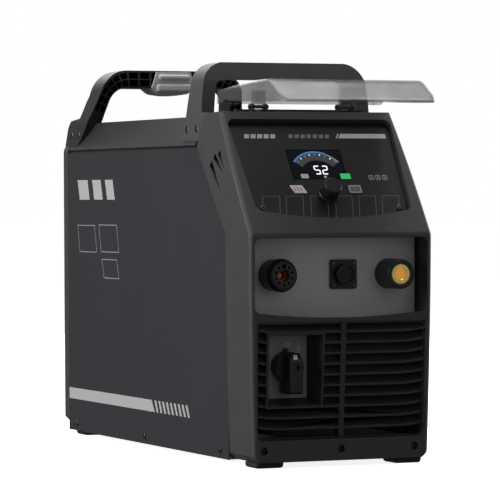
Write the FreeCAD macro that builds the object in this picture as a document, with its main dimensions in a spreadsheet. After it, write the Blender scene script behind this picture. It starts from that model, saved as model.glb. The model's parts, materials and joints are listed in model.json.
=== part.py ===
# A portable inverter plasma cutter: painted sheet-steel case, moulded front with a slanted
# control panel under a hinged clear cover, two carrying handles, a fan-cooled inside.
#
# Case axes, in mm: X across (0 is the middle plane), Y back from the front edge of the side
# panels, Z up from their bottom edge. Every sub-part is built in these axes, or in the axes of
# the face it sits on, and is then placed in the part's own frame: origin on the floor, in the
# middle of the outer size.
import FreeCAD, Part
import math
import os
import Sketcher
import PartDesign

V = FreeCAD.Vector
doc = FreeCAD.newDocument("PlasmaCutter")
sheet = doc.addObject("Spreadsheet::Sheet", "Sizes")

sizes = {
    # case
    "case_width": (230, "across the side panels"),
    "case_length": (553, "side panel, front edge to rear edge"),
    "case_height": (371, "side panel, bottom edge to top edge"),
    "steel": (1.5, "sheet thickness"),
    "kink_height": (269, "where the side panel's front edge starts to lean back"),
    "lean_back": (91, "how far the leaning edge runs back"),
    "origin_back": (225.95, "case front edge to the middle of the outer length"),
    "foot_height": (6, "floor to the case's bottom edge"),
    # moulded front
    "bezel_width": (237, "moulded front, across its widest place"),
    "bezel_depth": (75, "front face, ahead of the side panel"),
    "slope_start": (268, "height of the slanted panel's lower edge"),
    "slope_length": (179.2, "slanted panel, along the slope"),
    "slope_angle": (55, "slope above the horizontal"),
    "wall": (3, "moulding thickness"),
    "panel_sink": (7, "control panel, below the slanted frame"),
    # connectors, all on one line
    "socket_line": (220, "height of the connectors"),
    "torch_x": (-74, "torch socket"),
    "data_x": (17, "machine interface connector"),
    "earth_x": (77.5, "earth socket"),
    "torch_radius": (19.7, "torch socket's collar"),
    "earth_radius": (18.2, "earth socket's sleeve"),
    "earth_bore": (6, "hole for the earth plug"),
    "data_flange": (35, "square flange"),
    # controls
    "switch_x": (-58.8, "main switch's axis, across"),
    "switch_z": (111.6, "main switch's axis, height"),
    "drum_radius": (18.1, "main switch's drum"),
    "knob_s": (62, "encoder knob, up the slope"),
    "knob_radius": (11.5, "encoder knob"),
    "key_s": (69.4, "both keys, up the slope"),
    "display_width": (72, "display, across"),
    "display_depth": (44, "display, along the slope"),
    "display_s": (106, "display's middle, up the slope"),
    # clear cover
    "hinge_y": (41, "hinge line, back from the case's front edge"),
    "hinge_z": (421, "hinge line, height"),
    "cover_reach": (170, "hinge to free edge"),
    # handles
    "handle_top": (476.5, "front handle's top"),
    "rear_handle_top": (480, "rear handle's top"),
    "handle_width": (226, "both handles, across their feet"),
    # rear
    "rear_depth": (20, "moulded rear frame"),
    "fan_z": (118, "fan axis"),
    "fan_bore": (71, "radius of the fan's tunnel"),
}


class Size(float):
    # A number that remembers the spreadsheet expression it was worked out with, so that a
    # sketch or a primitive made from it stays bound to the sheet.
    def __new__(cls, value, expression):
        made = super().__new__(cls, value)
        made.expression = expression
        return made

    def combine(self, other, sign, value, swapped=False):
        first = self.expression
        second = getattr(other, "expression", repr(float(other)))
        if swapped:
            first, second = second, first
        return Size(value, "(" + first + " " + sign + " " + second + ")")

    def __add__(self, other):
        return self.combine(other, "+", float(self) + float(other))

    def __radd__(self, other):
        return self.combine(other, "+", float(self) + float(other), True)

    def __sub__(self, other):
        return self.combine(other, "-", float(self) - float(other))

    def __rsub__(self, other):
        return self.combine(other, "-", float(other) - float(self), True)

    def __mul__(self, other):
        return self.combine(other, "*", float(self) * float(other))

    def __rmul__(self, other):
        return self.combine(other, "*", float(self) * float(other), True)

    def __truediv__(self, other):
        return self.combine(other, "/", float(self) / float(other))

    def __neg__(self):
        return Size(-float(self), "(0 - " + self.expression + ")")


class Sheet:
    # Fills the spreadsheet and hands each value out as a Size.
    def __init__(self, table):
        for row, (alias, (value, note)) in enumerate(table.items(), start=1):
            sheet.set("A" + str(row), alias)
            sheet.set("B" + str(row), str(value))
            sheet.set("C" + str(row), note)
            sheet.setAlias("B" + str(row), alias)
            setattr(self, alias, Size(value, "Sizes." + alias))


s = Sheet(sizes)
doc.recompute()
pieces = []
serial = [0]


def fresh(kind):
    serial[0] += 1
    return kind + str(serial[0])


def bind(thing, prop, value):
    # Sets a property, and binds it where the value comes from the sheet.
    if "." not in prop:
        setattr(thing, prop, float(value))
    if hasattr(value, "expression"):
        thing.setExpression(prop, value.expression)


def put(thing, x, y, z, rotation=None):
    # Places a primitive, bound to the sheet where its coordinates are.
    thing.Placement = FreeCAD.Placement(V(float(x), float(y), float(z)), rotation or FreeCAD.Rotation())
    for axis, value in zip("xyz", (x, y, z)):
        bind(thing, "Placement.Base." + axis, value)
    return thing


def box(x0, x1, y0, y1, z0, z1):
    block = doc.addObject("Part::Box", fresh("Block"))
    bind(block, "Length", x1 - x0)
    bind(block, "Width", y1 - y0)
    bind(block, "Height", z1 - z0)
    return put(block, x0, y0, z0)


TURNS = {
    "z": FreeCAD.Rotation(),
    "x": FreeCAD.Rotation(V(0, 1, 0), 90),
    "y": FreeCAD.Rotation(V(1, 0, 0), -90),
}


def rod(radius, length, x=0, y=0, z=0, along="z"):
    cylinder = doc.addObject("Part::Cylinder", fresh("Rod"))
    bind(cylinder, "Radius", radius)
    bind(cylinder, "Height", length)
    return put(cylinder, x, y, z, TURNS[along])


def taper_box(y0, near, y1, far):
    # A block whose section changes evenly from the rectangle near, at y0, to far, at y1.
    # Each rectangle is (x low, x high, z low, z high).
    wedge = doc.addObject("Part::Wedge", fresh("Wedge"))
    names = ("Xmin", "Xmax", "Zmin", "Zmax"), ("X2min", "X2max", "Z2min", "Z2max")
    for keys, rectangle in zip(names, (near, far)):
        for key, value in zip(keys, rectangle):
            bind(wedge, key, value)
    bind(wedge, "Ymin", y0)
    bind(wedge, "Ymax", y1)
    return wedge


def origin_plane(body, role):
    return [feature for feature in body.Origin.OriginFeatures if feature.Role == role][0]


def draw(body, role, points):
    # A closed sketch through points. A point (x, y, "arc") is a point on the way of an arc from
    # the corner before it to the corner after it. Corners are held by distances from the origin.
    sketch = body.newObject("Sketcher::SketchObject", fresh("Sketch"))
    sketch.AttachmentSupport = [(origin_plane(body, role), "")]
    sketch.MapMode = "FlatFace"
    corners = [point for point in points if len(point) == 2]
    ways = {}
    seen = -1
    for point in points:
        if len(point) == 2:
            seen += 1
        else:
            ways[seen] = V(float(point[0]), float(point[1]), 0)
    ends = []
    for index, corner in enumerate(corners):
        start = V(float(corner[0]), float(corner[1]), 0)
        following = corners[(index + 1) % len(corners)]
        stop = V(float(following[0]), float(following[1]), 0)
        if index in ways:
            curve = Part.ArcOfCircle(start, ways[index], stop)
            number = sketch.addGeometry(curve, False)
            backwards = sketch.getPoint(number, 1).distanceToPoint(start) > 1e-6
            ends.append((2, 1) if backwards else (1, 2))
        else:
            number = sketch.addGeometry(Part.LineSegment(start, stop), False)
            ends.append((1, 2))
    rules = []
    bound = []
    for index, corner in enumerate(corners):
        nxt = (index + 1) % len(corners)
        rules.append(Sketcher.Constraint("Coincident", index, ends[index][1], nxt, ends[nxt][0]))
    for index, corner in enumerate(corners):
        for kind, value in zip(("DistanceX", "DistanceY"), corner):
            bound.append((len(rules), value))
            rules.append(Sketcher.Constraint(kind, -1, 1, index, ends[index][0], float(value)))
    sketch.addConstraint(rules)
    for number, value in bound:
        if hasattr(value, "expression"):
            sketch.setExpression("Constraints[" + str(number) + "]", value.expression)
    return sketch


def prism(plane, points, low, high):
    # A body padded from the outline: plane "XY" pads along Z, "XZ" along Y, "YZ" along X.
    body = doc.addObject("PartDesign::Body", fresh("Body"))
    sketch = draw(body, plane + "_Plane", points)
    pad = body.newObject("PartDesign::Pad", fresh("Pad"))
    pad.Profile = sketch
    bind(pad, "Length", high - low)
    # The front plane's normal points to -Y, so its pad is reversed to run towards +Y.
    pad.Reversed = plane == "XZ"
    sketch.Visibility = False
    shift = {"XY": (0, 0, low), "XZ": (0, low, 0), "YZ": (low, 0, 0)}[plane]
    return put(body, *shift)


def loft(near, near_y, far, far_y):
    # A body between two outlines with the same number of edges, facing the front at two depths.
    body = doc.addObject("PartDesign::Body", fresh("Body"))
    sketches = []
    for points, y in ((near, near_y), (far, far_y)):
        sketch = draw(body, "XZ_Plane", points)
        sketch.AttachmentOffset = FreeCAD.Placement(V(0, 0, -float(y)), FreeCAD.Rotation())
        sketch.Visibility = False
        sketches.append(sketch)
    blend = body.newObject("PartDesign::AdditiveLoft", fresh("Loft"))
    blend.Profile = sketches[0]
    blend.Sections = sketches[1:]
    blend.Ruled = True
    body.Tip = blend
    return body


def turned(points):
    # A body of revolution about Z from the half outline (radius, height).
    body = doc.addObject("PartDesign::Body", fresh("Body"))
    sketch = draw(body, "XZ_Plane", points)
    revolution = body.newObject("PartDesign::Revolution", fresh("Revolution"))
    revolution.Profile = sketch
    revolution.ReferenceAxis = (sketch, ["V_Axis"])
    revolution.Angle = 360
    return body


def fuse(*things):
    joined = doc.addObject("Part::MultiFuse", fresh("Fuse"))
    joined.Shapes = list(things)
    return joined


def cut(base, *tools):
    result = doc.addObject("Part::Cut", fresh("Cut"))
    result.Base = base
    result.Tool = tools[0] if len(tools) == 1 else fuse(*tools)
    return result


def common(*things):
    shared = doc.addObject("Part::MultiCommon", fresh("Common"))
    shared.Shapes = list(things)
    return shared


def rounded(thing, radius, chosen):
    # Rounds the edges that chosen(middle, direction) picks.
    doc.recompute()
    edges = []
    for number, edge in enumerate(thing.Shape.Edges, start=1):
        first, last = edge.ParameterRange
        middle = edge.valueAt((first + last) / 2)
        direction = edge.tangentAt((first + last) / 2)
        if chosen(middle, direction):
            edges.append((number, float(radius), float(radius)))
    fillet = doc.addObject("Part::Fillet", fresh("Fillet"))
    fillet.Base = thing
    fillet.Edges = edges
    return fillet


def along(axis):
    # Picks edges that run along one axis.
    return lambda middle, direction: abs(getattr(direction, axis)) > 0.99


def mirrored(points):
    return [(-x, *rest) for x, *rest in reversed(points)]


def strip(points, thickness):
    # The closed outline of a folded sheet whose outer side runs through points. The inner side
    # lies to the right of the way they run.
    inner = []
    for index, (x, y) in enumerate(points):
        normals = []
        for first, second in ((index - 1, index), (index, index + 1)):
            if first >= 0 and second < len(points):
                dx = points[second][0] - points[first][0]
                dy = points[second][1] - points[first][1]
                run = math.hypot(dx, dy)
                normals.append((dy / run, -dx / run))
        nx = sum(n[0] for n in normals)
        ny = sum(n[1] for n in normals)
        scale = 2 / (nx * nx + ny * ny) if len(normals) == 2 else 1
        inner.append((x + nx * scale * thickness, y + ny * scale * thickness))
    return list(points) + inner[::-1]


# ---- where each face of the case is ----
HOME = FreeCAD.Placement(V(0, -float(s.origin_back), float(s.foot_height)), FreeCAD.Rotation())
FACING_FRONT = FreeCAD.Rotation(V(1, 0, 0), 90)
FACING_BACK = FreeCAD.Rotation(V(0, 0, 1), 180).multiply(FreeCAD.Rotation(V(1, 0, 0), 90))
SLOPE = FreeCAD.Placement(
    V(0, -float(s.bezel_depth), float(s.slope_start)), FreeCAD.Rotation(V(1, 0, 0), float(s.slope_angle))
)


def on_front(x, z, y):
    return HOME.multiply(FreeCAD.Placement(V(float(x), float(y), float(z)), FACING_FRONT))


def on_back(x, z, y):
    return HOME.multiply(FreeCAD.Placement(V(float(x), float(y), float(z)), FACING_BACK))


def on_slope(x, up, out):
    shift = FreeCAD.Placement(V(float(x), float(up), float(out)), FreeCAD.Rotation())
    return HOME.multiply(SLOPE).multiply(shift)


def piece(label, thing, placement=HOME):
    # Names a finished sub-part and places it. A lone primitive or body that already has a place
    # in case axes is carried over as it is.
    thing.Label = label
    local = FreeCAD.Placement(thing.Placement)
    for path, expression in thing.ExpressionEngine:
        if "Placement" in path:
            thing.setExpression(path, None)
    thing.Placement = placement.multiply(local)
    pieces.append(thing)
    return thing


# ---- case ----
half_case = s.case_width / 2
inner_case = half_case - s.steel
back = s.case_length
PANEL_SCREWS = [(27, 10), (274, 10), (522, 10)]


def side_panel(label, side):
    low = -half_case if side < 0 else inner_case
    outline = [
        (0, 0), (back, 0), (back, s.case_height), (s.lean_back, s.case_height), (0, s.kink_height),
    ]
    panel = prism("YZ", outline, low, low + s.steel)
    soft = rounded(panel, 30, lambda m, d: abs(d.x) > 0.99 and abs(m.y) < 1 and m.z > 200)
    holes = [rod(2.6, 10, side * float(half_case) - 5, y, z, "x") for y, z in PANEL_SCREWS]
    piece(label, cut(soft, *holes))


side_panel("left_side_panel", -1)
side_panel("right_side_panel", 1)

# The roof is one folded sheet: skirts inside the side panels, a small step, bevels, a flat top.
roof_half = [(111.8, 356), (111.8, 373), (114.6, 375.5), (98, 411)]
roof_outside = mirrored(roof_half)[::-1] + roof_half[::-1]
FRONT_HANDLE_SCREWS = [(104.5, 395), (135.5, 395)]
REAR_HANDLE_SCREWS = [(519, 395), (545.6, 395)]
bolt_holes = [
    rod(2.6, 30, side * 105 - 15, y, z, "x")
    for side in (-1, 1) for y, z in FRONT_HANDLE_SCREWS + REAR_HANDLE_SCREWS
]
piece("roof_cover", cut(prism("XZ", strip(roof_outside, 1.5), 103.4, back - 0.2), *bolt_holes))

# The base is a folded tray with slots for the air to leave through.
tray_half = [(113.2, 24), (113.2, 0.2)]
tray = prism("XZ", strip(tray_half + mirrored(tray_half), 2), 3, back - 1)
slots = [box(x - 25, x + 25, y, y + 5, -1, 4) for x in (-45, 45) for y in range(150, 400, 14)]
tray_holes = [rod(2.3, 20, side * 112 - 10, y, z, "x") for side in (-1, 1) for y, z in PANEL_SCREWS]
piece("base_chassis", cut(tray, *slots, *tray_holes))

# ---- moulded front ----
half_bezel = s.bezel_width / 2
lean = math.radians(float(s.slope_angle))
ROOF_TOP = 411.2
slope_top = (
    -float(s.bezel_depth) + float(s.slope_length) * math.cos(lean),
    float(s.slope_start) + float(s.slope_length) * math.sin(lean),
)
outline = [
    (0, 1), (-72, 1), (-s.bezel_depth, s.slope_start), slope_top, (103, ROOF_TOP), (103, 376),
    (s.lean_back, s.case_height + 0.6), (0, s.kink_height + 0.4),
]
WIDEST = 285


def side_at(height, inwards=0):
    # Half the moulding's width: its sides bow out evenly to their widest place, and in again above.
    foot_in, top_in, top = 4.6, 5, 411
    share = (WIDEST - height) / (WIDEST - 9) if height < WIDEST else (height - WIDEST) / (top - WIDEST)
    return half_bezel - inwards - (foot_in if height < WIDEST else top_in) * share * share


def bowed(inwards=0):
    # The moulding seen from the front.
    right = [
        (104 - inwards, inwards), (side_at(9, inwards), 9 + inwards), (side_at(147, inwards), 147, "arc"),
        (side_at(WIDEST, inwards), WIDEST), (side_at(350, inwards), 350, "arc"), (side_at(415, inwards), 415),
    ]
    left = [(-x, *rest) for x, *rest in reversed(right)]
    return right + left


def front_side_edge(middle, direction):
    # The long edges between the front or the slope and the sides.
    if abs(middle.x) < 112 or abs(direction.x) > 0.5 or middle.z < 10:
        return False
    behind_slope = (middle.y + 75) * math.sin(lean) - (middle.z - 268) * math.cos(lean)
    return middle.y < -60 or (middle.z > 268 and behind_slope < 2)


outer = prism("YZ", outline, -half_bezel, half_bezel)
outer = rounded(outer, 12, lambda m, d: abs(d.x) > 0.99 and m.y < -74 and m.z > 200)
outer = rounded(common(outer, prism("XZ", bowed(), -80, 110)), 6, front_side_edge)
hollow_outline = [
    (40, 4), (-69, 4), (-72, 266.5), (31, 411.3), (93, 408.4), (120, 408.4), (120, 360), (40, 280),
]
hollow = common(prism("YZ", hollow_outline, -half_bezel, half_bezel), prism("XZ", bowed(s.wall), -90, 130))
# The top runs on between the handle's legs, and stops at a slanted seam beside them.
SEAM = [(75.2, 420), (75.2, 412.2), (96.3, 370), (130, 370), (130, 420)]
leg_seats = [prism("YZ", SEAM, -120, -95.1), prism("YZ", SEAM, 95.1, 120)]


def recess_edge(half, low, sag, high, corner, grow=0):
    # The recess's outline at one depth: a bottom edge that sags, and arcs at the four corners.
    half, low, high = half + grow, low - grow, high + grow
    turn = corner * (1 - math.sqrt(0.5))
    return [
        (-half + corner, low), (0, low - sag, "arc"), (half - corner, low), (half - turn, low + turn, "arc"),
        (half, low + corner), (half, high - corner), (half - turn, high - turn, "arc"), (half - corner, high),
        (-half + corner, high), (-half + turn, high - turn, "arc"), (-half, high - corner),
        (-half, low + corner),
        (-half + turn, low + turn, "arc"),
    ]


# The connector recess narrows on every side towards the plate at its back.
RECESS_BACK = -38
recess_mouth = (112.8, 175, 6.8, 264.4, 9)
recess_end = (109, 181.6, 0.3, 258.6, 5)
recess = loft(recess_edge(*recess_mouth), -76, recess_edge(*recess_end), RECESS_BACK)
recess_tray = common(
    loft(recess_edge(*recess_mouth, 2.2), -71.5, recess_edge(*recess_end, 2.2), RECESS_BACK),
    prism("XZ", bowed(0.5), -80, -20),
)


def lay_on_slope(thing, out=0):
    # Moves a block made in slope axes (across, up the slope, out of it) into case axes.
    thing.Placement = SLOPE.multiply(FreeCAD.Placement(V(0, 0, float(out)), FreeCAD.Rotation()))
    return thing


def panel_outline(grow=0):
    # The control panel's outline in slope axes.
    top, bottom = 108 + grow, 101 + grow
    return [
        (-bottom, 36 - grow), (0, 24 - grow, "arc"), (bottom, 36 - grow), (top, 168 + grow), (-top, 168 + grow),
    ]


sunk = -s.panel_sink
sink_tray = lay_on_slope(prism("XY", panel_outline(2.2), 0, 9), -10)
sink = lay_on_slope(rounded(prism("XY", panel_outline(), 0, 20), 9, along("z")), -8)
display_half = s.display_width / 2
display_low = s.display_s - s.display_depth / 2
display_high = s.display_s + s.display_depth / 2
display_x = -3
window = [
    (display_x - display_half, display_low), (display_x + display_half, display_low),
    (display_x + display_half, display_high), (display_x - display_half, display_high),
]


def key_outline(x, width, height, lean_over):
    # A key's face: a rectangle that leans over by lean_over.
    low, high = s.key_s - height / 2, s.key_s + height / 2
    shift = lean_over / 2
    return [
        (x - width / 2 + shift, low), (x + width / 2 + shift, low),
        (x + width / 2 - shift, high), (x - width / 2 - shift, high),
    ]


LEFT_KEY = (-36.5, 16, 11.4, 5)
RIGHT_KEY = (37.7, 17, 12.3, 0)


def grown(key, by):
    x, width, height, lean_over = key
    return x, width + by, height + by, lean_over


windows = [
    lay_on_slope(prism("XY", window, 0, 12), -16),
    lay_on_slope(prism("XY", key_outline(*grown(LEFT_KEY, 0.8)), 0, 12), -16),
    lay_on_slope(prism("XY", key_outline(*grown(RIGHT_KEY, 0.8)), 0, 12), -16),
    lay_on_slope(fuse(rod(4.5, 12, 0, s.knob_s), rod(2.2, 12, -89, 42), rod(2.2, 12, 89, 42)), -16),
]


def grille_edge(shrink=0):
    return [
        (-109 + shrink, 26.5 + shrink), (109 - shrink, 26.5 + shrink), (109 - shrink, 165 - shrink),
        (-109 + shrink, 165 - shrink),
    ]


def lower_corner(middle, direction):
    return abs(direction.y) > 0.99 and middle.z < 100


grille_opening = rounded(prism("XZ", grille_edge(), -80, -50), 8, lower_corner)
grille_sleeve = rounded(prism("XZ", grille_edge(-2), -71, -55), 10, lower_corner)
FRONT_SCREWS = [(-100.5, 14.9), (-1, 14.9), (95, 14.9)]
screw_wells = [rod(6.8, 14, x, -71.5, z, "y") for x, z in FRONT_SCREWS]
screw_holes = [rod(4.7, 12, x, -78, z, "y") for x, z in FRONT_SCREWS]
shank_holes = [rod(2.2, 30, x, -78, z, "y") for x, z in FRONT_SCREWS]


def claw(top_y, top_z, width, tip_y, tip_z):
    # A tapered slot in the moulding's side, wide at its top end.
    run = math.hypot(tip_y - top_y, tip_z - top_z)
    across = ((top_z - tip_z) / run * width / 2, (tip_y - top_y) / run * width / 2)
    points = [
        (top_y + across[0], top_z + across[1]), (top_y - across[0], top_z - across[1]), (tip_y - 0.6, tip_z),
        (tip_y + 0.6, tip_z),
    ]
    return [prism("YZ", points, -120, -105), prism("YZ", points, 105, 120)]


claws = claw(24, 366, 8, 8, 347) + claw(38, 361.5, 9, 10, 341) + claw(48, 353, 10, 17, 320)
moulding = fuse(cut(outer, hollow), recess_tray, common(sink_tray, outer), grille_sleeve, *screw_wells)
hinge_rail = box(-84, 84, 48, 54, 409, 418)
bezel = cut(
    fuse(moulding, hinge_rail), recess, sink, grille_opening, *windows, *leg_seats, *screw_holes,
    *shank_holes, *claws,
)
piece("front_bezel", bezel)

# ---- air grille and main switch ----
# The grille leans back towards its foot. Each slat is a louvre: a thin front lip whose ends curl
# up, and a blade that climbs from it towards the inside.
LEAN_BACK = 0.076
GRILLE_FACE = [(-74.3, 165), (-63.8, 27)]
SLAT_LINES = [38.4 + 12.6 * row for row in range(10)]
SWITCH_BOX = (-97.4, -21.6, 62, 153)


def leaning_slab(front, back, low, high):
    # A slab across the case, its faces parallel to the grille's leaning face.
    (top_y, top_z), (foot_y, foot_z) = GRILLE_FACE
    section = [(top_y + front, top_z), (foot_y + front, foot_z), (foot_y + back, foot_z), (top_y + back, top_z)]
    return prism("YZ", section, low, high)


def slat_edge(low, thick):
    flat, half, curl = 78, 108.7, 3.4
    return [
        (-half, low + curl), (-(flat + half) / 2, low + curl * 0.28, "arc"), (-flat, low), (flat, low),
        ((flat + half) / 2, low + curl * 0.28, "arc"), (half, low + curl), (half, low + curl + thick),
        ((flat + half) / 2, low + curl * 0.28 + thick, "arc"), (flat, low + thick), (-flat, low + thick),
        (-(flat + half) / 2, low + curl * 0.28 + thick, "arc"), (-half, low + curl + thick),
    ]


slats = []
for low in SLAT_LINES:
    face = -74.1 + (165 - low) * LEAN_BACK
    slats.append(loft(slat_edge(low, 2.2), face, slat_edge(low + 8.6, 2.2), face + 12))
frame_outer = rounded(prism("XZ", grille_edge(0.2), -80, -50), 7.8, lower_corner)
frame_inner = prism("XZ", grille_edge(2.4), -90, -40)
frame_ring = common(cut(frame_outer, frame_inner), leaning_slab(3.5, 13, -108.9, 108.9))
middle_bar = leaning_slab(-0.2, 13, -1.1, 5.3)
x_low, x_high, z_low, z_high = SWITCH_BOX
box_block = common(
    taper_box(-76, SWITCH_BOX, -38.2, (x_low + 5, x_high - 5, z_low + 7, z_high - 3)),
    prism("YZ", [(-74.5, 165), (-64, 27), (-30, 27), (-30, 165)], -105, -15),
)
box_mouth = taper_box(-76, (-94.4, -23.7, 64.2, 150.3), -38, (-88, -30.6, 74.3, 147.9))
inside_opening = common(fuse(*slats, middle_bar), frame_outer)
grille = cut(fuse(inside_opening, frame_ring, box_block), box_mouth)
piece("front_grille", grille)

switch_hole = rod(5, 10, s.switch_x, -42, s.switch_z, "y")
piece("switch_plate", cut(box(-90, -29, -38, -36, 72, 149.8), switch_hole))

switch_case = fuse(
    box(s.switch_x - 24, s.switch_x + 24, -35.8, 14, s.switch_z - 24, s.switch_z + 24),
    box(s.switch_x - 21, s.switch_x + 21, 14, 24, s.switch_z - 15, s.switch_z + 15),
)
piece("switch_body", cut(switch_case, rod(4.1, 40, s.switch_x, -40, s.switch_z, "y")))

# The handle in its own axes: across, up, out of the plate.
drum = rounded(rod(s.drum_radius, 15.5, 0, 0, 0.6), 1.2, lambda m, d: m.z > 10)
grip_side = [(-31.2, 3), (-31.2, 33), (-28.5, 36.2), (8, 36.2), (16.8, 26), (16.8, 10)]
grip = rounded(prism("YZ", grip_side, -8, 8), 1.6, lambda m, d: m.z > 3.5)
pointer = rod(2.6, 5, 0, 19.4, 0.6)
shaft = rod(4, 34, 0, 0, -30)
screw_well = rod(3.4, 14, 0, 0, 28)
switch_place = on_front(s.switch_x, s.switch_z, -38)
piece("switch_handle", cut(fuse(drum, grip, pointer, shaft), screw_well), switch_place)
screw_slots = [box(-0.5, 0.5, -3.5, 3.5, 30, 32), box(-3.5, 3.5, -0.5, 0.5, 30, 32)]
piece("switch_handle_screw", cut(rod(3.2, 3, 0, 0, 28.1), *screw_slots), switch_place)

# ---- connectors ----
plate = box(-112.5, 112.5, -37.8, -35.8, 168, 265.8)
plate = cut(
    plate,
    rod(15.2, 10, s.torch_x, -42, s.socket_line, "y"),
    rod(11.2, 10, s.data_x, -42, s.socket_line, "y"),
    rod(13.2, 10, s.earth_x, -42, s.socket_line, "y"),
)
piece("connector_plate", plate)

torch_place = on_front(s.torch_x, s.socket_line, -37.8)
torch_outline = [
    (12, -20), (15, -20), (15, 0), (18.6, 0), (18.6, 19.5), (s.torch_radius, 20.5), (s.torch_radius, 27),
    (s.torch_radius - 1.6, 29), (16.6, 33.5), (15.6, 33.5), (15.6, 9), (12, 9),
]
piece("torch_socket_body", turned(torch_outline), torch_place)
# Nine small sockets and a keyway round the middle bore.
pin_ring = [(11 * math.sin(math.radians(36 * k)), 11 * math.cos(math.radians(36 * k))) for k in range(1, 10)]
insert_block = rounded(fuse(rod(11.8, 30, 0, 0, -20), rod(15.5, 24.7, 0, 0, 9.1)), 0.8, lambda m, d: m.z > 33)
keyway = box(-2.4, 2.4, 8.6, 13.2, 26, 40)
pin_holes = [rod(1.5, 12, x, y, 26) for x, y in pin_ring]
torch_insert = cut(insert_block, rod(7.2, 60, 0, 0, -22), keyway, *pin_holes)
piece("torch_socket_insert", torch_insert, torch_place)
contact_outline = [(0, -26), (7, -26), (7, 24), (5.4, 24), (5.4, 14), (3.4, 14), (3.4, 20), (0, 20)]
piece("torch_socket_contact", turned(contact_outline), torch_place)


def hex_nut(across_flats, height, bore, low):
    corner = across_flats / math.sqrt(3)
    angles = [math.radians(60 * k) for k in range(6)]
    points = [(corner * math.cos(angle), corner * math.sin(angle)) for angle in angles]
    return cut(prism("XY", points, low, low + height), rod(bore, height + 4, 0, 0, low - 2))


torch_nut = hex_nut(42, 5, 15.1, -7.1)
torch_nut.Placement = FreeCAD.Placement(V(float(s.torch_x), 0, 0), FreeCAD.Rotation())
earth_nut = hex_nut(36, 5, 13.1, -7.1)
earth_nut.Placement = FreeCAD.Placement(V(float(s.earth_x), 0, 0), FreeCAD.Rotation())
piece("socket_nuts", fuse(torch_nut, earth_nut), on_front(0, s.socket_line, -37.8))

data_place = on_front(s.data_x, s.socket_line, -37.8)
half_flange = s.data_flange / 2
flange_outline = [
    (-half_flange, -half_flange), (half_flange, -half_flange), (half_flange, half_flange),
    (-half_flange, half_flange),
]
corners = [(x, y) for x in (-13.4, 13.4) for y in (-13.4, 13.4)]
flange = rounded(prism("XY", flange_outline, 0, 3), 3, along("z"))
flange = cut(
    fuse(flange, rod(12.3, 10.8, 0, 0, 0.2), rod(10.8, 12, 0, 0, -12)),
    rod(10.2, 40, 0, 0, -0.5), rod(9, 40, 0, 0, -20), *[rod(1.7, 8, x, y, -2) for x, y in corners],
)
piece("data_connector_shell", flange, data_place)
pins = [(6.3 * math.cos(math.radians(60 * k)), 6.3 * math.sin(math.radians(60 * k))) for k in range(6)]
pins += [(0, 0)]
data_insert = rounded(fuse(rod(10.1, 9.3, 0, 0, -0.4), rod(8.9, 13, 0, 0, -13)), 0.6, lambda m, d: m.z > 8)
data_insert = cut(data_insert, *[rod(1.5, 6, x, y, 5) for x, y in pins])
piece("data_connector_insert", data_insert, data_place)
data_pins = [rod(0.7, 2.6, x, y, 5.05) for x, y in pins]
piece("data_connector_pins", fuse(*data_pins), data_place)


def screw_head(radius, height, shank, length, x=0, y=0, low=0):
    # A pan head with a cross slot, and its shank.
    head = rounded(rod(radius, height, x, y, low), height * 0.45, lambda m, d: m.z > low + height - 0.01)
    slots = [
        box(x - radius * 0.6, x + radius * 0.6, y - 0.35, y + 0.35, low + height * 0.45, low + height + 1),
        box(x - 0.35, x + 0.35, y - radius * 0.6, y + radius * 0.6, low + height * 0.45, low + height + 1),
    ]
    return cut(fuse(head, rod(shank, length, x, y, low - length)), *slots)


data_screws = [screw_head(2.6, 1.8, 1.5, 2.9, x, y, 3.02) for x, y in corners]
piece("data_connector_screws", fuse(*data_screws), data_place)

earth_place = on_front(s.earth_x, s.socket_line, -37.8)
earth_outline = [
    (12.1, -14), (13, -14), (13, 0), (s.earth_radius, 0), (s.earth_radius - 0.5, 34.6),
    (s.earth_radius - 1.7, 36), (13, 36), (12.1, 35),
]
piece("earth_socket_body", turned(earth_outline), earth_place)
brass_outline = [
    (0, -24), (7, -24), (7, -14), (12, -14), (12, 34), (11.2, 34.8), (7.4, 34.8), (s.earth_bore, 33.4),
    (s.earth_bore, -4), (0, -4),
]
keyhole = fuse(box(-2.4, 2.4, 0, 7.6, 2, 40), rod(2.4, 38, 0, 7.6, 2))
brass = cut(turned(brass_outline), keyhole)
piece("earth_socket_contact", brass, earth_place)

# ---- control panel ----
slope = on_slope(0, 0, 0)
overlay = rounded(prism("XY", panel_outline(-0.3), -7.95, -7), 8.7, along("z"))
overlay = cut(
    overlay,
    prism("XY", window, -10, -5),
    prism("XY", key_outline(*grown(LEFT_KEY, 0.8)), -10, -5),
    prism("XY", key_outline(*grown(RIGHT_KEY, 0.8)), -10, -5),
    rod(4.5, 10, 0, s.knob_s, -12), rod(2.4, 10, -89, 42, -12), rod(2.4, 10, 89, 42, -12),
)
piece("control_fascia", overlay, slope)
glass = [(x + (0.2 if x < display_x else -0.2), y + (0.2 if y < s.display_s else -0.2)) for x, y in window]
piece("display_glass", prism("XY", glass, -9.6, -7.1), slope)
switches = [box(x - 4, x + 4, s.key_s - 4, s.key_s + 4, -22.5, -14.4) for x in (LEFT_KEY[0], RIGHT_KEY[0])]
module = box(display_x - 34, display_x + 34, 85, 127, -22.5, -9.8)
piece("display_board", fuse(box(-52, 52, 44, 134, -24, -22.4), module, *switches), slope)
fascia_screws = fuse(*[screw_head(3.6, 2, 2, 5, x, 42, -6.98) for x in (-89, 89)])
piece("fascia_screws", fascia_screws, slope)

encoder_case = cut(box(-7, 7, s.knob_s - 7, s.knob_s + 7, -22.2, -11), rod(3.3, 20, 0, s.knob_s, -21))
piece("encoder_body", cut(encoder_case, rod(5.2, 8, 0, s.knob_s, -21.2)), slope)
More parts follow.
